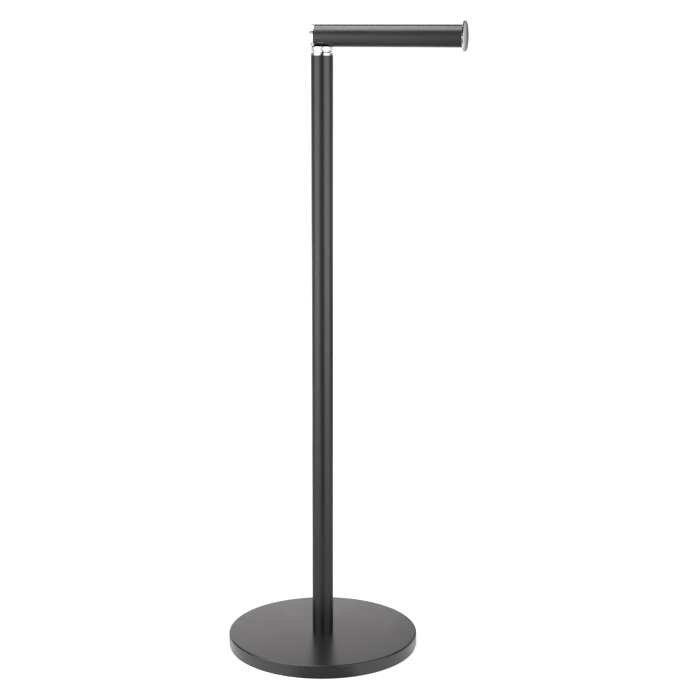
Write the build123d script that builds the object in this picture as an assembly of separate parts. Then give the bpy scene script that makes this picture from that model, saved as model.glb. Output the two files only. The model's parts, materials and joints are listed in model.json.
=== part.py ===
"""Free-standing toilet paper holder: weighted round base, tubular post and a swivelling roll arm.

Origin: where the post's axis meets the floor. +Z runs up the post and +X along the roll arm.
All sizes are in millimetres.
"""

import os

from build123d import *

# ---------------------------------------------------------------- driving dimensions
BASE_DIAMETER = 200.0          # outside of the pressed base cover
BASE_HEIGHT = 14.0             # floor to the cover's flat top
TUBE_DIAMETER = 22.0           # post and arm share one tube
TUBE_WALL = 1.0
ARM_AXIS_HEIGHT = 637.7        # floor to the arm's axis
ARM_REACH = 143.3              # post axis to the arm tube's free end

# base
COVER_WALL = 1.2
COVER_EDGE_RADIUS = 1.5
COVER_INNER_RADIUS = 0.6
PAD_THICKNESS = 2.0
PAD_LIP_THICKNESS = 1.0        # the pad's thin lip, which the cover's rim rests on
PAD_LIP_INSET = 0.4            # the lip stops this far inside the cover's outside
PLATE_THICKNESS = 1.0
WEIGHT_CLEARANCE = 0.8         # radial, between the weight and the cover
BOLT_POCKET_RADIUS = 14.0
BOLT_WEB = 2.8                 # iron left above the bolt pocket
PLATE_SCREW_COUNT = 4
PLATE_SCREW_CIRCLE = 130.0
PLATE_SCREW_RADIUS = 2.0
PLATE_SCREW_HEAD_RADIUS = 3.6
PLATE_SCREW_HEAD_HEIGHT = 1.5
PLATE_SCREW_LENGTH = 7.0
SCREW_RECESS_WIDTH = 1.0
SCREW_RECESS_SPAN = 4.4
SCREW_RECESS_DEPTH = 0.8
PAD_HOLE_MARGIN = 1.4          # around each plate screw's head

# base bolt stack
BOLT_RADIUS = 4.0              # M8, used for the base bolt and the swivel stud
BOLT_HEAD_RADIUS = 6.5
BOLT_HEAD_HEIGHT = 4.0
BOLT_SOCKET_ACROSS_FLATS = 5.0
BOLT_SOCKET_DEPTH = 2.2
LOCK_WASHER_THICKNESS = 2.0
LOCK_WASHER_RADIUS = 7.4
LOCK_WASHER_SPLIT = 1.2
FLAT_WASHER_THICKNESS = 1.6
FLAT_WASHER_RADIUS = 12.0
GASKET_THICKNESS = 0.5
GASKET_INSET = 0.2             # the gasket's edge stays inside the tube's outside
FOOT_INSERT_LENGTH = 18.0
BOLT_ENGAGEMENT = 13.0         # bolt length inside the foot insert

# post head and swivel
COLLAR_HEIGHT = 2.2            # the chrome ring's visible height
COLLAR_PLUG_LENGTH = 18.0
COLLAR_EDGE_RADIUS = 0.3
NECK_HEIGHT = 5.8              # collar top to the arm tube's underside, seam included
SEAM_HEIGHT = 0.3              # open seam between the collar and the turning neck
NECK_TOP_RADIUS = 10.5
NECK_BOTTOM_RADIUS = 10.1
NECK_EDGE_RADIUS = 2.2
NECK_SEAT_DEPTH = 0.2          # how far the neck's top wraps up around the arm
BUSH_WALL = 2.0
BUSH_LENGTH = 8.0
BUSH_FLANGE_RADIUS = 7.0
BUSH_FLANGE_THICKNESS = 1.0
THRUST_WASHER_THICKNESS = 1.0
THRUST_WASHER_RADIUS = 8.0
DISC_SPRING_THICKNESS = 0.6
DISC_SPRING_CONE = 0.5         # height of the disc spring's cone when loaded
DISC_SPRING_RADIUS = 7.6
LOCK_NUT_ACROSS_FLATS = 13.0
LOCK_NUT_HEIGHT = 8.0
LOCK_NUT_COLLAR_HEIGHT = 2.0   # the nut's round top that holds its nylon ring
STUD_TAIL = 1.5                # stud showing past the lock nut
STUD_IN_BAR = 8.0              # stud above the arm's axis

# arm
CAP_RIM_THICKNESS = 3.5
CAP_EDGE_RADIUS = 0.6
CAP_PLUG_LENGTH = 1.6
CLAMP_BAR_MARGIN = 1.0         # metal beyond the tapped hole, towards the short end
CLAMP_BAR_LENGTH = 22.0
ARM_INSERT_LENGTH = 18.0
END_DISC_DIAMETER = 30.0
END_DISC_THICKNESS = 2.2
END_DISC_DOME = 0.6
END_DISC_TAPER = 0.35          # the disc's radius shrinks this much from its back to its face
END_DISC_EDGE_RADIUS = 0.2
DISC_STUD_RADIUS = 3.0
DISC_STUD_ENGAGEMENT = 12.0
DISC_STUD_SEAT = 1.0           # depth of the stud's blind hole in the disc

# clearances
FIT_GAP = 0.1                  # radial, pressed, welded or screwed pieces
BOLT_GAP = 0.3                 # radial, bolt in a plain hole
RUNNING_GAP = 0.06             # radial, stud in its bushes
THRUST_GAP = 0.05              # axial, between faces that slide on each other
EDGE_BREAK = 0.5               # chamfer on hidden edges
SAME_PLACE = 1e-4              # two edges nearer than this lie at one place

# ---------------------------------------------------------------- derived sizes
base_radius = BASE_DIAMETER / 2
tube_radius = TUBE_DIAMETER / 2
tube_bore_radius = tube_radius - TUBE_WALL
plug_radius = tube_bore_radius - FIT_GAP
bolt_hole_radius = BOLT_RADIUS + BOLT_GAP
tapped_radius = BOLT_RADIUS + FIT_GAP

plate_bottom = PAD_THICKNESS
plate_top = plate_bottom + PLATE_THICKNESS
cover_underside = BASE_HEIGHT - COVER_WALL
cover_bore_radius = base_radius - COVER_WALL
weight_radius = cover_bore_radius - WEIGHT_CLEARANCE
pocket_top = cover_underside - BOLT_WEB

flat_washer_bottom = pocket_top - FLAT_WASHER_THICKNESS
lock_washer_bottom = flat_washer_bottom - LOCK_WASHER_THICKNESS
bolt_head_bottom = lock_washer_bottom - BOLT_HEAD_HEIGHT

post_bottom = BASE_HEIGHT + GASKET_THICKNESS
arm_underside = ARM_AXIS_HEIGHT - tube_radius
collar_top = arm_underside - NECK_HEIGHT
post_top = collar_top - COLLAR_HEIGHT
collar_plug_bottom = post_top - COLLAR_PLUG_LENGTH
neck_bottom = collar_top + SEAM_HEIGHT
neck_top = arm_underside + NECK_SEAT_DEPTH
bush_radius = BOLT_RADIUS + RUNNING_GAP + BUSH_WALL
upper_flange_top = neck_bottom - THRUST_GAP
upper_flange_bottom = upper_flange_top - BUSH_FLANGE_THICKNESS

lower_flange_bottom = collar_plug_bottom - BUSH_FLANGE_THICKNESS
thrust_washer_bottom = lower_flange_bottom - THRUST_GAP - THRUST_WASHER_THICKNESS
disc_spring_bottom = thrust_washer_bottom - DISC_SPRING_CONE - DISC_SPRING_THICKNESS
lock_nut_bottom = disc_spring_bottom - LOCK_NUT_HEIGHT
stud_bottom = lock_nut_bottom - STUD_TAIL
stud_top = ARM_AXIS_HEIGHT + STUD_IN_BAR

clamp_bar_start = -tapped_radius - CLAMP_BAR_MARGIN
cap_plug_end = clamp_bar_start - FIT_GAP
arm_start = cap_plug_end - CAP_PLUG_LENGTH


# ---------------------------------------------------------------- helpers
def post_rod(radius, bottom, top):
    """Solid cylinder on the post's axis."""
    return Pos(0, 0, bottom) * Cylinder(radius, top - bottom, align=(Align.CENTER, Align.CENTER, Align.MIN))


def post_ring(outer, inner, bottom, top):
    """Flat ring or tube on the post's axis."""
    return post_rod(outer, bottom, top) - post_rod(inner, bottom, top)


def arm_rod(radius, start, end):
    """Solid cylinder on the arm's axis, between two distances from the post's axis."""
    rod = Cylinder(radius, end - start, align=(Align.CENTER, Align.CENTER, Align.MIN))
    return Pos(start, 0, ARM_AXIS_HEIGHT) * Rot(0, 90, 0) * rod


def hex_prism(across_flats, bottom, top):
    """Hexagonal bar on the post's axis."""
    outline = RegularPolygon(across_flats / 2, 6, major_radius=False)
    return extrude(Pos(0, 0, bottom) * outline, top - bottom)


def rim_at(solid, axis, position, radius):
    """Circular edges of one radius that lie at one place along an axis."""
    circles = solid.edges().filter_by(GeomType.CIRCLE)
    level = circles.filter_by_position(axis, position - SAME_PLACE, position + SAME_PLACE)
    return [edge for edge in level if abs(edge.radius - radius) < SAME_PLACE]


def plate_screw_places():
    """Centres of the bottom plate's screws, on their circle."""
    return PolarLocations(PLATE_SCREW_CIRCLE / 2, PLATE_SCREW_COUNT, start_angle=45)


# ---------------------------------------------------------------- base
def base_cover():
    outside = post_rod(base_radius, PAD_LIP_THICKNESS, BASE_HEIGHT)
    outside = fillet(rim_at(outside, Axis.Z, BASE_HEIGHT, base_radius), COVER_EDGE_RADIUS)
    inside = post_rod(cover_bore_radius, PAD_LIP_THICKNESS, cover_underside)
    inside = fillet(rim_at(inside, Axis.Z, cover_underside, cover_bore_radius), COVER_INNER_RADIUS)
    return outside - inside - post_rod(bolt_hole_radius, cover_underside, BASE_HEIGHT)


def base_weight():
    disc = post_rod(weight_radius, plate_top, cover_underside)
    disc = chamfer(rim_at(disc, Axis.Z, cover_underside, weight_radius), COVER_INNER_RADIUS + EDGE_BREAK)
    disc -= post_rod(BOLT_POCKET_RADIUS, plate_top, pocket_top)
    disc -= post_rod(bolt_hole_radius, pocket_top, cover_underside)
    hole_top = plate_bottom + PLATE_SCREW_LENGTH + EDGE_BREAK
    hole = post_rod(PLATE_SCREW_RADIUS + FIT_GAP, plate_top, hole_top)
    for place in plate_screw_places():
        disc -= place * hole
    return disc


def bottom_plate():
    plate = post_ring(weight_radius, BOLT_POCKET_RADIUS, plate_bottom, plate_top)
    hole = post_rod(PLATE_SCREW_RADIUS + BOLT_GAP, plate_bottom, plate_top)
    for place in plate_screw_places():
        plate -= place * hole
    return plate


def plate_screw():
    head_bottom = plate_bottom - PLATE_SCREW_HEAD_HEIGHT
    head = post_rod(PLATE_SCREW_HEAD_RADIUS, head_bottom, plate_bottom)
    head = fillet(rim_at(head, Axis.Z, head_bottom, PLATE_SCREW_HEAD_RADIUS), EDGE_BREAK)
    recess = Box(SCREW_RECESS_SPAN, SCREW_RECESS_WIDTH, SCREW_RECESS_DEPTH)
    recess += Box(SCREW_RECESS_WIDTH, SCREW_RECESS_SPAN, SCREW_RECESS_DEPTH)
    head -= Pos(0, 0, head_bottom + SCREW_RECESS_DEPTH / 2) * recess
    return head + post_rod(PLATE_SCREW_RADIUS, plate_bottom, plate_bottom + PLATE_SCREW_LENGTH)


def bottom_plate_screws():
    return Compound(children=[place * plate_screw() for place in plate_screw_places()])


def floor_pad():
    pad = post_ring(weight_radius, BOLT_POCKET_RADIUS, 0, PAD_THICKNESS)
    pad += post_ring(base_radius - PAD_LIP_INSET, weight_radius, 0, PAD_LIP_THICKNESS)
    hole = post_rod(PLATE_SCREW_HEAD_RADIUS + PAD_HOLE_MARGIN, 0, PAD_THICKNESS)
    for place in plate_screw_places():
        pad -= place * hole
    return pad


def base_bolt():
    head = post_rod(BOLT_HEAD_RADIUS, bolt_head_bottom, lock_washer_bottom)
    head = chamfer(rim_at(head, Axis.Z, bolt_head_bottom, BOLT_HEAD_RADIUS), EDGE_BREAK)
    head -= hex_prism(BOLT_SOCKET_ACROSS_FLATS, bolt_head_bottom, bolt_head_bottom + BOLT_SOCKET_DEPTH)
    shank_top = post_bottom + BOLT_ENGAGEMENT
    shank = post_rod(BOLT_RADIUS, lock_washer_bottom, shank_top)
    shank = chamfer(rim_at(shank, Axis.Z, shank_top, BOLT_RADIUS), EDGE_BREAK)
    return head + shank


def base_lock_washer():
    washer = post_ring(LOCK_WASHER_RADIUS, tapped_radius, lock_washer_bottom, flat_washer_bottom)
    from_inside = (Align.MIN, Align.CENTER, Align.MIN)
    split = Box(LOCK_WASHER_RADIUS, LOCK_WASHER_SPLIT, LOCK_WASHER_THICKNESS, align=from_inside)
    return washer - Pos(0, 0, lock_washer_bottom) * split


def base_flat_washer():
    return post_ring(FLAT_WASHER_RADIUS, tapped_radius, flat_washer_bottom, pocket_top)


# ---------------------------------------------------------------- post
def post_gasket():
    return post_ring(tube_radius - GASKET_INSET, bolt_hole_radius, BASE_HEIGHT, post_bottom)


def post_foot_insert():
    top = post_bottom + FOOT_INSERT_LENGTH
    plug = post_ring(plug_radius, tapped_radius, post_bottom, top)
    return chamfer(rim_at(plug, Axis.Z, top, plug_radius), EDGE_BREAK)


def post_tube():
    return post_ring(tube_radius, tube_bore_radius, post_bottom, post_top)


def post_collar():
    ring = post_rod(tube_radius, post_top, collar_top)
    ring = fillet(rim_at(ring, Axis.Z, collar_top, tube_radius), COLLAR_EDGE_RADIUS)
    plug = post_rod(plug_radius, collar_plug_bottom, post_top)
    plug = chamfer(rim_at(plug, Axis.Z, collar_plug_bottom, plug_radius), EDGE_BREAK)
    bore = post_rod(bush_radius + FIT_GAP, collar_plug_bottom, collar_top)
    flange_seat = post_rod(BUSH_FLANGE_RADIUS + FIT_GAP, upper_flange_bottom, collar_top)
    return ring + plug - bore - flange_seat


# ---------------------------------------------------------------- swivel
def upper_bush():
    bottom = upper_flange_bottom - BUSH_LENGTH
    flange = post_rod(BUSH_FLANGE_RADIUS, upper_flange_bottom, upper_flange_top)
    sleeve = post_rod(bush_radius, bottom, upper_flange_bottom)
    return flange + sleeve - post_rod(BOLT_RADIUS + RUNNING_GAP, bottom, upper_flange_top)


def lower_bush():
    top = collar_plug_bottom + BUSH_LENGTH
    flange = post_rod(BUSH_FLANGE_RADIUS, lower_flange_bottom, collar_plug_bottom)
    sleeve = post_rod(bush_radius, collar_plug_bottom, top)
    return flange + sleeve - post_rod(BOLT_RADIUS + RUNNING_GAP, lower_flange_bottom, top)


def swivel_thrust_washer():
    top = thrust_washer_bottom + THRUST_WASHER_THICKNESS
    return post_ring(THRUST_WASHER_RADIUS, tapped_radius, thrust_washer_bottom, top)


def swivel_disc_spring():
    section = Polyline(
        (tapped_radius, disc_spring_bottom),
        (DISC_SPRING_RADIUS, disc_spring_bottom + DISC_SPRING_CONE),
        (DISC_SPRING_RADIUS, thrust_washer_bottom),
        (tapped_radius, thrust_washer_bottom - DISC_SPRING_CONE),
        close=True,
    )
    return revolve(Plane.XZ * make_face(section), Axis.Z)


def swivel_lock_nut():
    hex_bottom = lock_nut_bottom + LOCK_NUT_COLLAR_HEIGHT
    body = hex_prism(LOCK_NUT_ACROSS_FLATS, hex_bottom, disc_spring_bottom)
    collar = post_rod(LOCK_NUT_ACROSS_FLATS / 2 - EDGE_BREAK, lock_nut_bottom, hex_bottom)
    return body + collar - post_rod(tapped_radius, lock_nut_bottom, disc_spring_bottom)


def swivel_stud():
    stud = post_rod(BOLT_RADIUS, stud_bottom, stud_top)
    ends = rim_at(stud, Axis.Z, stud_bottom, BOLT_RADIUS) + rim_at(stud, Axis.Z, stud_top, BOLT_RADIUS)
    return chamfer(ends, EDGE_BREAK)


def neck_saddle():
    height = neck_top - neck_bottom
    cone = Cone(NECK_BOTTOM_RADIUS, NECK_TOP_RADIUS, height, align=(Align.CENTER, Align.CENTER, Align.MIN))
    cone = Pos(0, 0, neck_bottom) * cone
    cone = fillet(rim_at(cone, Axis.Z, neck_bottom, NECK_BOTTOM_RADIUS), NECK_EDGE_RADIUS)
    arm_seat = arm_rod(tube_radius, -tube_radius, tube_radius)
    return cone - arm_seat - post_rod(tapped_radius, neck_bottom, neck_top)


# ---------------------------------------------------------------- arm
def arm_tube():
    tube = arm_rod(tube_radius, arm_start, ARM_REACH) - arm_rod(tube_bore_radius, arm_start, ARM_REACH)
    return tube - post_rod(bolt_hole_radius, arm_underside, ARM_AXIS_HEIGHT)


def arm_clamp_bar():
    bar = arm_rod(plug_radius, clamp_bar_start, clamp_bar_start + CLAMP_BAR_LENGTH)
    return bar - post_rod(tapped_radius, arm_underside, stud_top + EDGE_BREAK)


def arm_rear_cap():
    outer_face = arm_start - CAP_RIM_THICKNESS
    rim = arm_rod(tube_radius, outer_face, arm_start)
    rim = fillet(rim_at(rim, Axis.X, outer_face, tube_radius), CAP_EDGE_RADIUS)
    return rim + arm_rod(plug_radius, arm_start, cap_plug_end)


def arm_front_insert():
    plug = arm_rod(plug_radius, ARM_REACH - ARM_INSERT_LENGTH, ARM_REACH)
    return plug - arm_rod(DISC_STUD_RADIUS + FIT_GAP, ARM_REACH - ARM_INSERT_LENGTH, ARM_REACH)


def end_disc():
    back_radius = END_DISC_DIAMETER / 2
    face_radius = back_radius - END_DISC_TAPER
    edge = END_DISC_THICKNESS - END_DISC_DOME
    dome_radius = (face_radius**2 + END_DISC_DOME**2) / (2 * END_DISC_DOME)
    outline = Polyline((0, END_DISC_THICKNESS), (0, 0), (back_radius, 0), (face_radius, edge))
    outline += RadiusArc((0, END_DISC_THICKNESS), (face_radius, edge), dome_radius)
    section = make_face(outline)
    rim_corners = [v for v in section.vertices() if v.X > face_radius - SAME_PLACE]
    section = fillet(rim_corners, END_DISC_EDGE_RADIUS)
    disc = revolve(Plane.XZ * section, Axis.Z)
    disc = Pos(ARM_REACH, 0, ARM_AXIS_HEIGHT) * Rot(0, 90, 0) * disc
    return disc - arm_rod(DISC_STUD_RADIUS + FIT_GAP, ARM_REACH, ARM_REACH + DISC_STUD_SEAT + FIT_GAP)


def end_disc_stud():
    return arm_rod(DISC_STUD_RADIUS, ARM_REACH - DISC_STUD_ENGAGEMENT, ARM_REACH + DISC_STUD_SEAT)


# ---------------------------------------------------------------- export
SUBPARTS = [
    base_cover,
    base_weight,
    bottom_plate,
    bottom_plate_screws,
    floor_pad,
    base_bolt,
    base_lock_washer,
    base_flat_washer,
    post_gasket,
    post_foot_insert,
    post_tube,
    post_collar,
    upper_bush,
    lower_bush,
    swivel_thrust_washer,
    swivel_disc_spring,
    swivel_lock_nut,
    swivel_stud,
    neck_saddle,
    arm_tube,
    arm_clamp_bar,
    arm_rear_cap,
    arm_front_insert,
    end_disc,
    end_disc_stud,
]

os.makedirs("parts", exist_ok=True)
for subpart in SUBPARTS:
    export_step(subpart(), f"parts/{subpart.__name__}.step")
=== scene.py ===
import json
import math

import bmesh
import bpy
from mathutils import Matrix, Vector

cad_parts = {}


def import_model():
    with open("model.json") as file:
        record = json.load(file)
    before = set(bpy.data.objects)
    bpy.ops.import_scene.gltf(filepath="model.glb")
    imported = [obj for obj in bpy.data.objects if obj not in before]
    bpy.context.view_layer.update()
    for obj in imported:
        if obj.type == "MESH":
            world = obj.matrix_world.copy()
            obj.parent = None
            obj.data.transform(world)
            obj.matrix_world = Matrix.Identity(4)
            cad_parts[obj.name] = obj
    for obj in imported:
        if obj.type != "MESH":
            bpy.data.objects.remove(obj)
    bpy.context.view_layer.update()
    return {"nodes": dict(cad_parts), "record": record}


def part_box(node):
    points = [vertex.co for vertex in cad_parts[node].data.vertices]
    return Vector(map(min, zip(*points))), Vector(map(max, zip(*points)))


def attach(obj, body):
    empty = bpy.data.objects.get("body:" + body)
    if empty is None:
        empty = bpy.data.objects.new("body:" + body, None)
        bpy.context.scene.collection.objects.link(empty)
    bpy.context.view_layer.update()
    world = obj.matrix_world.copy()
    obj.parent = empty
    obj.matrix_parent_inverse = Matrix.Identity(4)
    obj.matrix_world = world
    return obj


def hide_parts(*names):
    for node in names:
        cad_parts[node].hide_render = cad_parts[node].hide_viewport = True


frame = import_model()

# ------------------------------------------------------------------ sizes
MM = 0.001
TURN = 2 * math.pi
ROUND_SEGMENTS = 160          # facets round a tube or disc
COVER_SEGMENTS = 256
RING_SEGMENTS = 96            # facets round a bolt's head or a small ring
DRILL_SEGMENTS = 64
CORNER_STEPS = 6              # facets round a rolled or broken edge
DOME_STEPS = 12               # facets from the end disc's edge to its middle
SAME_POINT = 1e-7             # vertices nearer than this many metres are one
CREASE_ANGLE = math.radians(32)

TUBE_WALL = 1.0 * MM
FIT_GAP = 0.1 * MM            # radial, round pressed and screwed pieces
M8_RADIUS, M8_PITCH = 4.0 * MM, 1.25 * MM
M6_RADIUS, M6_PITCH = 3.0 * MM, 1.0 * MM
BOLT_HOLE_RADIUS = M8_RADIUS + 0.3 * MM


def low(node):
    """Lowest corner of a CAD node's box."""
    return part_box(node)[0]


def high(node):
    """Highest corner of a CAD node's box."""
    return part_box(node)[1]


def radius_of(node):
    """Radius of a node that is round about the post's or the arm's axis."""
    return (high(node).y - low(node).y) / 2


arm_height = (low("arm_tube").z + high("arm_tube").z) / 2
tube_radius = (high("arm_tube").z - low("arm_tube").z) / 2
plug_radius = tube_radius - TUBE_WALL - FIT_GAP
# takes the Z axis onto the arm's axis
ARM_FRAME = Matrix.Translation((0, 0, arm_height)) @ Matrix.Rotation(math.radians(90), 4, "Y")

# body and finish of each CAD node, from the record
body_of = {}
for body_name, members in frame["record"]["behaviour"]["bodies"].items():
    for member in members:
        body_of[member] = body_name
slot_of = {subpart["node"]: subpart["material_slot"] for subpart in frame["record"]["subparts"]}


# ------------------------------------------------------------------ mesh helpers
def rounded_outline(corners):
    """Closed outline through (across, along, rounding) corners, each rounded corner drawn as an arc."""
    points = []
    count = len(corners)
    for i, (across, along, rounding) in enumerate(corners):
        here = Vector((across, along))
        if rounding <= 0:
            points.append(here)
            continue
        before = Vector(corners[i - 1][:2]) - here
        after = Vector(corners[(i + 1) % count][:2]) - here
        half = before.angle(after) / 2
        before.normalize()
        after.normalize()
        reach = rounding / math.tan(half)
        centre = here + (before + after).normalized() * (rounding / math.sin(half))
        start = here + before * reach - centre
        sweep = start.angle_signed(here + after * reach - centre)
        for step in range(CORNER_STEPS + 1):
            spoke = start.copy()
            spoke.rotate(Matrix.Rotation(-sweep * step / CORNER_STEPS, 2))
            points.append(centre + spoke)
    return points


def new_object(name, bm):
    """Object from a bmesh, shaded smooth with crisp corners."""
    bmesh.ops.remove_doubles(bm, verts=bm.verts, dist=SAME_POINT)
    bmesh.ops.recalc_face_normals(bm, faces=bm.faces)
    mesh = bpy.data.meshes.new(name)
    bm.to_mesh(mesh)
    bm.free()
    mesh.shade_smooth()
    mesh.set_sharp_from_angle(angle=CREASE_ANGLE)
    piece = bpy.data.objects.new(name, mesh)
    bpy.context.scene.collection.objects.link(piece)
    return piece


def weight_normals(piece):
    """Keeps large flat and round faces evenly shaded up to their rolled edges."""
    modifier = piece.modifiers.new("even_shading", "WEIGHTED_NORMAL")
    modifier.keep_sharp = True


def lathe(name, corners, place=Matrix.Identity(4), segments=ROUND_SEGMENTS):
    """Turned piece: the outline of (radius, height, rounding) corners swept round the Z axis, then placed."""
    outline = rounded_outline(corners)
    bm = bmesh.new()
    rings = []
    for k in range(segments):
        angle = TURN * k / segments
        ring = [bm.verts.new((p.x * math.cos(angle), p.x * math.sin(angle), p.y)) for p in outline]
        rings.append(ring)
    count = len(outline)
    for k, ring in enumerate(rings):
        following = rings[(k + 1) % segments]
        for i in range(count):
            j = (i + 1) % count
            on_axis = outline[i].x < SAME_POINT and outline[j].x < SAME_POINT
            if not on_axis:
                bm.faces.new((ring[i], following[i], following[j], ring[j]))
    bmesh.ops.transform(bm, matrix=place, verts=bm.verts)
    return new_object(name, bm)


def rod_outline(radius, bottom, top, bottom_rounding=0, top_rounding=0):
    """Corners of a solid rod for the lathe."""
    return [(0, bottom, 0), (radius, bottom, bottom_rounding), (radius, top, top_rounding), (0, top, 0)]


def tube_outline(start, end):
    """Corners of the tube's wall for the lathe, with lightly broken ends."""
    inside, broken = tube_radius - TUBE_WALL, 0.25 * MM
    return [
        (tube_radius, start, broken),
        (tube_radius, end, broken),
        (inside, end, broken),
        (inside, start, broken),
    ]


def cut(piece, tool):
    """Takes the tool's shape out of the piece and deletes the tool."""
    modifier = piece.modifiers.new("cut", "BOOLEAN")
    modifier.object = tool
    modifier.operation = "DIFFERENCE"
    modifier.solver = "EXACT"
    graph = bpy.context.evaluated_depsgraph_get()
    mesh = bpy.data.meshes.new_from_object(piece.evaluated_get(graph))
    piece.modifiers.clear()
    piece.data = mesh
    bpy.data.objects.remove(tool)


def finish_piece(piece, node):
    """A detailed piece takes the place of its plain CAD node, with that node's finish and body."""
    piece.data.materials.clear()
    piece.data.materials.append(MATERIALS[slot_of[node]])
    weight_normals(piece)
    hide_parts(node)
    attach(piece, body_of[node])


# ------------------------------------------------------------------ materials
NOISE_SPAN = (0.3, 0.7)       # where most of a noise's values lie


class Nodes:
    """Short way to add and link shader nodes."""

    def __init__(self, tree):
        self.tree = tree
        self.tree.nodes.clear()

    def add(self, kind, **settings):
        node = self.tree.nodes.new(kind)
        for key, value in settings.items():
            setattr(node, key, value)
        return node

    def link(self, source, target):
        self.tree.links.new(source, target)

    def noise(self, coordinates, scale, detail=3.0, rough=0.5):
        """Noise texture with features about 1/scale metres across; returns its value."""
        node = self.add("ShaderNodeTexNoise")
        node.inputs["Scale"].default_value = scale
        node.inputs["Detail"].default_value = detail
        node.inputs["Roughness"].default_value = rough
        self.link(coordinates, node.inputs["Vector"])
        return node.outputs["Fac"]

    def remap(self, value, low_in, high_in, low_out, high_out):
        """Number that goes from low_out to high_out as value goes from low_in to high_in."""
        node = self.add("ShaderNodeMapRange")
        settings = (low_in, high_in, low_out, high_out)
        for key, setting in zip(("From Min", "From Max", "To Min", "To Max"), settings):
            node.inputs[key].default_value = setting
        self.link(value, node.inputs["Value"])
        return node.outputs["Result"]

    def blend(self, value, first, second):
        """Colour between two, by value."""
        node = self.add("ShaderNodeMix", data_type="RGBA")
        node.inputs["A"].default_value = (*first, 1)
        node.inputs["B"].default_value = (*second, 1)
        self.link(value, node.inputs["Factor"])
        return node.outputs["Result"]

    def bump(self, height, distance, strength=1.0, below=None):
        """Normal bent by a height, on top of another bump if one is given."""
        node = self.add("ShaderNodeBump")
        node.inputs["Strength"].default_value = strength
        node.inputs["Distance"].default_value = distance
        self.link(height, node.inputs["Height"])
        if below is not None:
            self.link(below, node.inputs["Normal"])
        return node.outputs["Normal"]


def start_material(name):
    """New material with a Principled shader; returns the material, its nodes, shader and coordinates."""
    material = bpy.data.materials.new(name)
    material.use_nodes = True
    nodes = Nodes(material.node_tree)
    shader = nodes.add("ShaderNodeBsdfPrincipled")
    output = nodes.add("ShaderNodeOutputMaterial")
    nodes.link(shader.outputs["BSDF"], output.inputs["Surface"])
    coordinates = nodes.add("ShaderNodeTexCoord").outputs["Object"]
    return material, nodes, shader, coordinates


def surface(nodes, shader, pattern, dark, light, roughness, span=NOISE_SPAN):
    """Base colour and roughness that both follow one pattern."""
    nodes.link(nodes.blend(pattern, dark, light), shader.inputs["Base Color"])
    nodes.link(nodes.remap(pattern, *span, *roughness), shader.inputs["Roughness"])


def powder_coat():
    """Fine-grained satin black coat: pebbled bump, slight cloudiness in tone and gloss."""
    material, nodes, shader, where = start_material("powder_coat_black")
    clouds = nodes.noise(where, 45, detail=2)
    grain = nodes.noise(where, 2600, detail=2)
    pebble = nodes.noise(where, 900, detail=1)
    surface(nodes, shader, clouds, (0.0070, 0.0070, 0.0073), (0.0100, 0.0100, 0.0102), (0.27, 0.32))
    fine = nodes.bump(grain, 0.012 * MM, 0.6)
    nodes.link(nodes.bump(pebble, 0.02 * MM, 0.6, below=fine), shader.inputs["Normal"])
    return material


def polished_chrome():
    """Bright plate with faint polishing haze."""
    material, nodes, shader, where = start_material("polished_chrome")
    shader.inputs["Metallic"].default_value = 1.0
    haze = nodes.noise(where, 160, detail=4)
    colours = (0.86, 0.87, 0.885), (0.90, 0.905, 0.915)
    surface(nodes, shader, haze, *colours, (0.035, 0.085), span=(0.3, 0.75))
    ripple = nodes.noise(where, 420, detail=2)
    nodes.link(nodes.bump(ripple, 0.004 * MM, 0.4), shader.inputs["Normal"])
    return material


def zinc_plate():
    """Bluish bright zinc over turned or stamped steel."""
    material, nodes, shader, where = start_material("zinc_plate")
    shader.inputs["Metallic"].default_value = 1.0
    patches = nodes.noise(where, 120, detail=4)
    surface(nodes, shader, patches, (0.47, 0.49, 0.52), (0.62, 0.63, 0.64), (0.26, 0.42))
    marks = nodes.noise(where, 1800, detail=2)
    nodes.link(nodes.bump(marks, 0.01 * MM, 0.5), shader.inputs["Normal"])
    return material


def cast_iron():
    """Sand-cast surface under a thin black primer."""
    material, nodes, shader, where = start_material("cast_iron_primed")
    sand = nodes.noise(where, 700, detail=5, rough=0.6)
    surface(nodes, shader, sand, (0.03, 0.03, 0.032), (0.075, 0.072, 0.07), (0.65, 0.85))
    nodes.link(nodes.bump(sand, 0.12 * MM, 0.8), shader.inputs["Normal"])
    return material


def foam():
    """Closed-cell foam sheet: fine cells with a dull skin."""
    material, nodes, shader, where = start_material("closed_cell_foam")
    cells = nodes.add("ShaderNodeTexVoronoi", feature="F1")
    cells.inputs["Scale"].default_value = 1500
    nodes.link(where, cells.inputs["Vector"])
    scuffs = nodes.noise(where, 60, detail=5)
    surface(nodes, shader, scuffs, (0.018, 0.018, 0.019), (0.036, 0.036, 0.036), (0.78, 0.95))
    shader.inputs["Specular IOR Level"].default_value = 0.3
    nodes.link(nodes.bump(cells.outputs["Distance"], 0.08 * MM, 0.7), shader.inputs["Normal"])
    return material


def nylon(name, dark, light):
    """Moulded nylon with a faint satin texture."""
    material, nodes, shader, where = start_material(name)
    flow = nodes.noise(where, 220, detail=3)
    surface(nodes, shader, flow, dark, light, (0.42, 0.55))
    nodes.link(nodes.bump(nodes.noise(where, 2200), 0.008 * MM, 0.5), shader.inputs["Normal"])
    return material


MATERIALS = {
    "black_powder_coat": powder_coat(),
    "polished_chrome": polished_chrome(),
    "cast_iron": cast_iron(),
    "zinc_steel": zinc_plate(),
    "black_foam": foam(),
    "white_nylon": nylon("natural_nylon", (0.72, 0.71, 0.66), (0.80, 0.79, 0.74)),
    "black_nylon": nylon("black_nylon", (0.018, 0.018, 0.018), (0.028, 0.028, 0.028)),
}

for node_name, slot_name in slot_of.items():
    for material_slot in frame["nodes"][node_name].material_slots:
        material_slot.material = MATERIALS[slot_name]


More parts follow.
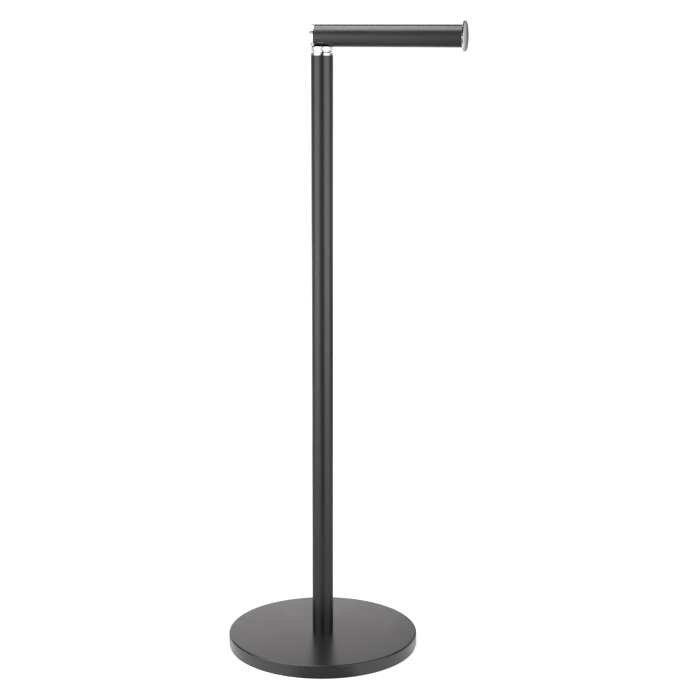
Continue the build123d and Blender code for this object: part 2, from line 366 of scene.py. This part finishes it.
# ------------------------------------------------------------------ turned pieces
def base_cover():
    """Pressed shell, open below, with the bolt's hole in its middle."""
    outside, bottom, top = radius_of("base_cover"), low("base_cover").z, high("base_cover").z
    wall = 1.2 * MM
    top_edge, foot_edge, inner_foot_edge, inner_fold = 1.5 * MM, 0.4 * MM, 0.3 * MM, 0.6 * MM
    corners = [
        (BOLT_HOLE_RADIUS, top, 0),
        (outside, top, top_edge),
        (outside, bottom, foot_edge),
        (outside - wall, bottom, inner_foot_edge),
        (outside - wall, top - wall, inner_fold),
        (BOLT_HOLE_RADIUS, top - wall, 0),
    ]
    finish_piece(lathe("cover_shell", corners, segments=COVER_SEGMENTS), "base_cover")


def post():
    """Plain straight tube."""
    finish_piece(lathe("post_column", tube_outline(low("post_tube").z, high("post_tube").z)), "post_tube")


def arm():
    """Tube with the stud's hole drilled up through its lower wall."""
    piece = lathe("arm_bar", tube_outline(low("arm_tube").x, high("arm_tube").x), ARM_FRAME)
    below_tube = low("arm_tube").z - MM
    drill = lathe("drill", rod_outline(BOLT_HOLE_RADIUS, below_tube, arm_height), segments=DRILL_SEGMENTS)
    cut(piece, drill)
    finish_piece(piece, "arm_tube")


def collar():
    """Ring flush with the post, its plug, its bore and the seat for the upper bush's flange."""
    bottom, top = low("post_collar").z, high("post_collar").z
    shoulder = high("post_tube").z
    bore, flange_thickness = 6.16 * MM, 1.0 * MM
    flange_seat = radius_of("upper_bush") + FIT_GAP
    seat_floor = high("upper_bush").z - flange_thickness
    plug_edge, shoulder_edge, top_edge, seat_edge = 0.5 * MM, 0.2 * MM, 0.35 * MM, 0.1 * MM
    corners = [
        (bore, bottom, 0),
        (plug_radius, bottom, plug_edge),
        (plug_radius, shoulder, 0),
        (tube_radius, shoulder, shoulder_edge),
        (tube_radius, top, top_edge),
        (flange_seat, top, seat_edge),
        (flange_seat, seat_floor, 0),
        (bore, seat_floor, 0),
    ]
    finish_piece(lathe("collar_ring", corners), "post_collar")


def neck():
    """Cup with a well-rounded foot, its top cut to the arm's curve."""
    bottom, top = low("neck_saddle").z, high("neck_saddle").z
    foot, rim, bore = 10.1 * MM, 10.5 * MM, M8_RADIUS + FIT_GAP
    foot_edge, rim_edge = 2.2 * MM, 0.2 * MM
    corners = [
        (bore, bottom, 0),
        (foot, bottom, foot_edge),
        (rim, top, rim_edge),
        (bore, top, 0),
    ]
    piece = lathe("neck_cup", corners)
    reach = 2 * rim
    cut(piece, lathe("seat", rod_outline(tube_radius, -reach, reach), ARM_FRAME))
    finish_piece(piece, "neck_saddle")


def rear_cap():
    """Cap with a rim flush with the arm and a short plug inside it."""
    face, plug_end = low("arm_rear_cap").x, high("arm_rear_cap").x
    shoulder = low("arm_tube").x
    face_edge, shoulder_edge, plug_edge = 0.6 * MM, 0.2 * MM, 0.3 * MM
    corners = [
        (0, face, 0),
        (tube_radius, face, face_edge),
        (tube_radius, shoulder, shoulder_edge),
        (plug_radius, shoulder, 0),
        (plug_radius, plug_end, plug_edge),
        (0, plug_end, 0),
    ]
    finish_piece(lathe("rear_plug", corners, ARM_FRAME), "arm_rear_cap")


def stop_disc():
    """Disc with a slightly tapered rim, a shallow domed face and the stud's blind hole in its back."""
    back, front = low("end_disc").x, high("end_disc").x
    outside = radius_of("end_disc")
    taper, dome = 0.35 * MM, 0.6 * MM
    socket, socket_depth = M6_RADIUS + FIT_GAP, 1.1 * MM
    back_edge, broken = 0.06 * MM, 0.2 * MM
    face_radius = outside - taper
    dome_radius = (face_radius**2 + dome**2) / (2 * dome)
    face = []
    for step in range(1, DOME_STEPS):
        across = face_radius * (1 - step / DOME_STEPS)
        face.append((across, front - dome_radius + math.sqrt(dome_radius**2 - across**2), 0))
    corners = [
        (0, back + socket_depth, 0),
        (socket, back + socket_depth, 0),
        (socket, back, broken),
        (outside, back, back_edge),
        (face_radius, front - dome, broken),
        *face,
        (0, front, 0),
    ]
    finish_piece(lathe("stop_disc", corners, ARM_FRAME), "end_disc")


# ------------------------------------------------------------------ fasteners
THREAD_DEPTH = 0.6            # share of the pitch
THREAD_SIDES = 48
THREAD_ROWS = 6               # rows of facets in one turn of thread
END_CHAMFER = 0.5 * MM


def threaded_rod(bm, radius, pitch, bottom, top, plain=(0, 0)):
    """Adds a rod on the Z axis with a helical thread, broken ends and one plain stretch."""
    rows = round((top - bottom) / pitch * THREAD_ROWS)
    rings = []
    for i in range(rows + 1):
        z = bottom + (top - bottom) * i / rows
        depth = 0 if plain[0] < z < plain[1] else THREAD_DEPTH * pitch
        chamfer = max(0, END_CHAMFER - min(z - bottom, top - z))
        ring = []
        for k in range(THREAD_SIDES):
            phase = ((z - bottom) / pitch - k / THREAD_SIDES) % 1.0
            groove = depth * (1 - abs(2 * phase - 1))
            here = radius - max(groove, chamfer)
            angle = TURN * k / THREAD_SIDES
            ring.append(bm.verts.new((here * math.cos(angle), here * math.sin(angle), z)))
        rings.append(ring)
    for lower, upper in zip(rings, rings[1:]):
        for k in range(THREAD_SIDES):
            following = (k + 1) % THREAD_SIDES
            bm.faces.new((lower[k], lower[following], upper[following], upper[k]))
    bm.faces.new(reversed(rings[0]))
    bm.faces.new(rings[-1])


def hex_tool(name, across_flats, bottom, top):
    """Hexagonal bar on the Z axis, used to cut a socket."""
    return lathe(name, rod_outline(across_flats / math.sqrt(3), bottom, top), segments=6)


def base_bolt():
    """Bolt with a hex socket, its head downwards, and its threaded shank set into the head."""
    bottom, top = low("base_bolt").z, high("base_bolt").z
    seat = low("base_lock_washer").z
    face_edge, seat_edge = 0.5 * MM, 0.2 * MM
    socket_across_flats, socket_depth = 5.0 * MM, 2.2 * MM
    set_in = 0.4 * MM
    corners = rod_outline(radius_of("base_bolt"), bottom, seat, face_edge, seat_edge)
    head = lathe("bolt_head", corners, segments=RING_SEGMENTS)
    cut(head, hex_tool("hex_key", socket_across_flats, bottom - MM, bottom + socket_depth))
    bm = bmesh.new()
    bm.from_mesh(head.data)
    bpy.data.objects.remove(head)
    threaded_rod(bm, M8_RADIUS, M8_PITCH, seat - set_in, top)
    finish_piece(new_object("socket_bolt", bm), "base_bolt")


def swivel_stud():
    """Stud threaded at both ends, plain where it turns in its two bushes."""
    bm = bmesh.new()
    plain = (high("swivel_thrust_washer").z, high("upper_bush").z)
    threaded_rod(bm, M8_RADIUS, M8_PITCH, low("swivel_stud").z, high("swivel_stud").z, plain)
    finish_piece(new_object("pivot_stud", bm), "swivel_stud")


def disc_stud():
    """Stud that holds the end disc, threaded all along."""
    bm = bmesh.new()
    threaded_rod(bm, M6_RADIUS, M6_PITCH, low("end_disc_stud").x, high("end_disc_stud").x)
    bmesh.ops.transform(bm, matrix=ARM_FRAME, verts=bm.verts)
    finish_piece(new_object("stop_stud", bm), "end_disc_stud")


def lock_ring():
    """Nylon ring pressed into the round end of the lock nut."""
    bottom = low("swivel_lock_nut").z
    inner, outer = 4.15 * MM, 5.3 * MM
    proud, depth, edge = 0.05 * MM, 1.6 * MM, 0.1 * MM
    corners = [
        (inner, bottom - proud, edge),
        (outer, bottom - proud, edge),
        (outer, bottom + depth, 0),
        (inner, bottom + depth, 0),
    ]
    ring = lathe("lock_ring", corners, segments=RING_SEGMENTS)
    ring.data.materials.append(MATERIALS["white_nylon"])
    weight_normals(ring)
    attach(ring, "roll_arm")


WELD_DISTANCE = 1e-6
BEVEL_STEPS = 2
BEVEL_ANGLE = math.radians(50)


def soften_edges(node, width):
    """Breaks the sharp edges of a plain CAD node by modifiers, which leave its mesh alone."""
    piece = frame["nodes"][node]
    weld = piece.modifiers.new("weld", "WELD")
    weld.merge_threshold = WELD_DISTANCE
    bevel = piece.modifiers.new("soft_edges", "BEVEL")
    bevel.width = width
    bevel.segments = BEVEL_STEPS
    bevel.limit_method = "ANGLE"
    bevel.angle_limit = BEVEL_ANGLE
    weight_normals(piece)


EDGE_WIDTHS = {
    "base_weight": 0.30 * MM,
    "bottom_plate": 0.10 * MM,
    "bottom_plate_screws": 0.08 * MM,
    "floor_pad": 0.25 * MM,
    "base_lock_washer": 0.12 * MM,
    "base_flat_washer": 0.12 * MM,
    "post_gasket": 0.05 * MM,
    "post_foot_insert": 0.10 * MM,
    "upper_bush": 0.10 * MM,
    "lower_bush": 0.10 * MM,
    "swivel_thrust_washer": 0.08 * MM,
    "swivel_lock_nut": 0.15 * MM,
    "arm_clamp_bar": 0.20 * MM,
    "arm_front_insert": 0.20 * MM,
}

base_cover()
post()
arm()
collar()
neck()
rear_cap()
stop_disc()
base_bolt()
swivel_stud()
disc_stud()
lock_ring()
for node_name, edge_width in EDGE_WIDTHS.items():
    soften_edges(node_name, edge_width)

# ------------------------------------------------------------------ camera
CAMERA_DISTANCE = 1.5872
CAMERA_HEIGHT = 0.6383
CAMERA_ROUND = math.radians(15.67)     # round the post from straight in front of the arm
CAMERA_PAN = math.radians(1.026)       # how far the view's middle is turned away from the post
CAMERA_DOWN = math.radians(11.364)     # how far the view's middle points below the horizon
CAMERA_ROLL = math.radians(0.125)
SENSOR_WIDTH = 36.0
LENS = 80.58

forward_angle = CAMERA_ROUND - CAMERA_PAN
forward = Vector((
    -math.sin(forward_angle) * math.cos(CAMERA_DOWN),
    math.cos(forward_angle) * math.cos(CAMERA_DOWN),
    -math.sin(CAMERA_DOWN),
))
level_right = forward.cross(Vector((0, 0, 1))).normalized()
level_up = level_right.cross(forward)
right = level_right * math.cos(CAMERA_ROLL) + level_up * math.sin(CAMERA_ROLL)
up = level_up * math.cos(CAMERA_ROLL) - level_right * math.sin(CAMERA_ROLL)
camera_data = bpy.data.cameras.new("camera")
camera_data.sensor_width = SENSOR_WIDTH
camera_data.lens = LENS
camera = bpy.data.objects.new("camera", camera_data)
camera_turn = Matrix((right, up, -forward)).transposed().to_4x4()
camera_spot = Vector((math.sin(CAMERA_ROUND), -math.cos(CAMERA_ROUND), 0)) * CAMERA_DISTANCE
camera.matrix_world = Matrix.Translation(camera_spot + Vector((0, 0, CAMERA_HEIGHT))) @ camera_turn
bpy.context.scene.collection.objects.link(camera)
bpy.context.scene.camera = camera
bpy.context.scene.view_settings.view_transform = "Standard"


# ------------------------------------------------------------------ studio
# Bearings are in degrees round the post, counted from the camera's side: minus is left, plus is right.
# Lengths are in metres.
# name, bearing, height, distance, width, tall, radiance, height of its aim, tint
SOFTBOXES = [
    ("left_box", -58, 0.5, 1.25, 1.3, 0.95, 2.5, 0.5, (1, 1, 1)),
    ("right_box", 50, 0.5, 1.25, 1.4, 0.95, 2.6, 0.5, (1, 1, 1)),
    ("top_box", -96, 2.1, 0.75, 1.85, 1.6, 6.6, 0.6, (1, 1, 1)),
    ("back_box", -163, 0.17, 0.75, 0.8, 0.3, 1.48, 0.17, (1.03, 0.955, 1.015)),
]


def softbox(name, bearing, height, distance, width, tall, radiance, aim_height, tint):
    """Soft rectangular light that shines at the post and isn't seen itself."""
    light = bpy.data.lights.new(name, "AREA")
    light.shape = "RECTANGLE"
    light.size = width
    light.size_y = tall
    light.energy = radiance * math.pi * width * tall
    light.color = tint
    lamp = bpy.data.objects.new(name, light)
    angle = CAMERA_ROUND + math.radians(bearing)
    lamp.location = (math.sin(angle) * distance, -math.cos(angle) * distance, height)
    aim = Vector((0, 0, aim_height)) - lamp.location
    lamp.rotation_mode = "QUATERNION"
    lamp.rotation_quaternion = aim.to_track_quat("-Z", "Y")
    lamp.visible_camera = False
    bpy.context.scene.collection.objects.link(lamp)


for row in SOFTBOXES:
    softbox(*row)

# (bearing, radiance) of the surround
SURROUND = [
    (-180, 0.5), (-168, 0.5), (-158, 0.2), (-100, 0.2), (-92, 0.5), (-32, 0.7), (-17, 0.7), (-14, 0.03),
    (14, 0.03), (17, 0.7), (32, 0.7), (92, 0.5), (110, 0.1), (128, 0.4), (136, 1.0), (141, 1.0), (144, 0.55),
    (149, 0.5), (154, 0.25), (159, 0.1), (164, 0.1), (170, 0.5), (180, 0.5),
]
OVERHEAD_FADE = (0.45, 0.75, 1.0, 0.25)     # its strength falls between these sines of the elevation
SEEN_SURROUND = 1.05                        # white that only the camera sees

# (bearing, radiance) of the floor as reflections see it
FLOOR_GLOW = [
    (-180, 0.0), (-110, 0.0), (-80, 0.85), (-26, 1.05), (-12, 0.2), (12, 0.12), (18, 0.3), (25, 1.05),
    (80, 0.85), (110, 0.0), (180, 0.0),
]
# (bearing, grey) of the floor away from the stand: a dark strip runs towards the camera
FLOOR_GREY = 0.37
FLOOR_TONE = [
    (-180, FLOOR_GREY), (-24, FLOOR_GREY), (-12, 0.06), (20, 0.06), (30, FLOOR_GREY), (180, FLOOR_GREY),
]
FLOOR_RADIUS = 9.0
FLOOR_SEGMENTS = 128
# (distance from the post, farther distance, value at the first, value at the second)
SEEN_NEAR = (0.11, 0.6, 0.75, 1.0)          # white that only the camera sees, a little less by the base
SEEN_AWAY = (0.25, 0.36, 0.8, 1.0)
GLOW_NEAR = (0.13, 0.18, 1.15, 0.4)         # strength of the glow
GLOW_AWAY = (0.35, 0.55, 0.4, 0.95)
GLOW_FAR = (2.0, 3.2, 0.0, 0.8)             # glow on all sides, far from the stand
TONE_NEAR = (0.35, 0.5, FLOOR_GREY, 0.0)    # keeps the floor's plain grey near the stand


def by_bearing(nodes, where, stops):
    """Grey level that depends on the bearing of a place or direction."""
    turn = nodes.add("ShaderNodeMapping")
    turn.inputs["Rotation"].default_value = (0, 0, -CAMERA_ROUND + math.radians(90))
    nodes.link(where, turn.inputs["Vector"])
    radial = nodes.add("ShaderNodeTexGradient", gradient_type="RADIAL")
    nodes.link(turn.outputs["Vector"], radial.inputs["Vector"])
    ramp = nodes.add("ShaderNodeValToRGB")
    elements = ramp.color_ramp.elements
    while len(elements) < len(stops):
        elements.new(0.5)
    for element, (bearing, level) in zip(elements, stops):
        element.position = 0.5 + bearing / 360
        element.color = (level, level, level, 1)
    nodes.link(radial.outputs["Fac"], ramp.inputs["Fac"])
    return ramp.outputs["Color"]


def seen_apart(nodes, lit, seen):
    """Shader that shows the camera one thing and gives light and reflections another."""
    ray = nodes.add("ShaderNodeLightPath")
    choose = nodes.add("ShaderNodeMixShader")
    nodes.link(ray.outputs["Is Camera Ray"], choose.inputs["Fac"])
    nodes.link(lit.outputs[0], choose.inputs[1])
    nodes.link(seen.outputs[0], choose.inputs[2])
    return choose.outputs[0]


def larger(nodes, first, second):
    """The larger of two numbers."""
    node = nodes.add("ShaderNodeMath", operation="MAXIMUM")
    nodes.link(first, node.inputs[0])
    nodes.link(second, node.inputs[1])
    return node.outputs["Value"]


def lighter(nodes, first, second):
    """The lighter of two greys."""
    node = nodes.add("ShaderNodeMix", data_type="RGBA", blend_type="LIGHTEN")
    node.inputs["Factor"].default_value = 1.0
    nodes.link(first, node.inputs["A"])
    nodes.link(second, node.inputs["B"])
    return node.outputs["Result"]


def floor():
    """Plain pale floor, lit so that it meets the white surround without an edge."""
    bm = bmesh.new()
    bmesh.ops.create_circle(bm, cap_ends=True, segments=FLOOR_SEGMENTS, radius=FLOOR_RADIUS)
    piece = new_object("studio_floor", bm)
    material = bpy.data.materials.new("studio_floor")
    material.use_nodes = True
    nodes = Nodes(material.node_tree)
    where = nodes.add("ShaderNodeTexCoord").outputs["Object"]
    length = nodes.add("ShaderNodeVectorMath", operation="LENGTH")
    nodes.link(where, length.inputs[0])
    away = length.outputs["Value"]

    matte = nodes.add("ShaderNodeBsdfDiffuse")
    tone = lighter(nodes, by_bearing(nodes, where, FLOOR_TONE), nodes.remap(away, *TONE_NEAR))
    nodes.link(tone, matte.inputs["Color"])
    white = nodes.add("ShaderNodeEmission")
    whiteness = larger(nodes, nodes.remap(away, *SEEN_NEAR), nodes.remap(away, *SEEN_AWAY))
    nodes.link(whiteness, white.inputs["Strength"])
    glow = nodes.add("ShaderNodeEmission")
    strength = larger(nodes, nodes.remap(away, *GLOW_NEAR), nodes.remap(away, *GLOW_AWAY))
    nodes.link(strength, glow.inputs["Strength"])
    spread = lighter(nodes, by_bearing(nodes, where, FLOOR_GLOW), nodes.remap(away, *GLOW_FAR))
    nodes.link(spread, glow.inputs["Color"])

    both = nodes.add("ShaderNodeAddShader")
    nodes.link(matte.outputs[0], both.inputs[0])
    nodes.link(seen_apart(nodes, glow, white), both.inputs[1])
    output = nodes.add("ShaderNodeOutputMaterial")
    nodes.link(both.outputs[0], output.inputs["Surface"])
    piece.data.materials.append(material)


def world():
    """Surround that the camera sees white, and reflections in greys by bearing, dark behind the camera."""
    surround = bpy.data.worlds.new("studio")
    surround.use_nodes = True
    bpy.context.scene.world = surround
    nodes = Nodes(surround.node_tree)
    direction = nodes.add("ShaderNodeTexCoord").outputs["Generated"]
    apart = nodes.add("ShaderNodeSeparateXYZ")
    nodes.link(direction, apart.inputs["Vector"])
    lighting = nodes.add("ShaderNodeBackground")
    nodes.link(by_bearing(nodes, direction, SURROUND), lighting.inputs["Color"])
    nodes.link(nodes.remap(apart.outputs["Z"], *OVERHEAD_FADE), lighting.inputs["Strength"])
    seen = nodes.add("ShaderNodeBackground")
    seen.inputs["Color"].default_value = (1, 1, 1, 1)
    seen.inputs["Strength"].default_value = SEEN_SURROUND
    output = nodes.add("ShaderNodeOutputWorld")
    nodes.link(seen_apart(nodes, lighting, seen), output.inputs["Surface"])


floor()
world()
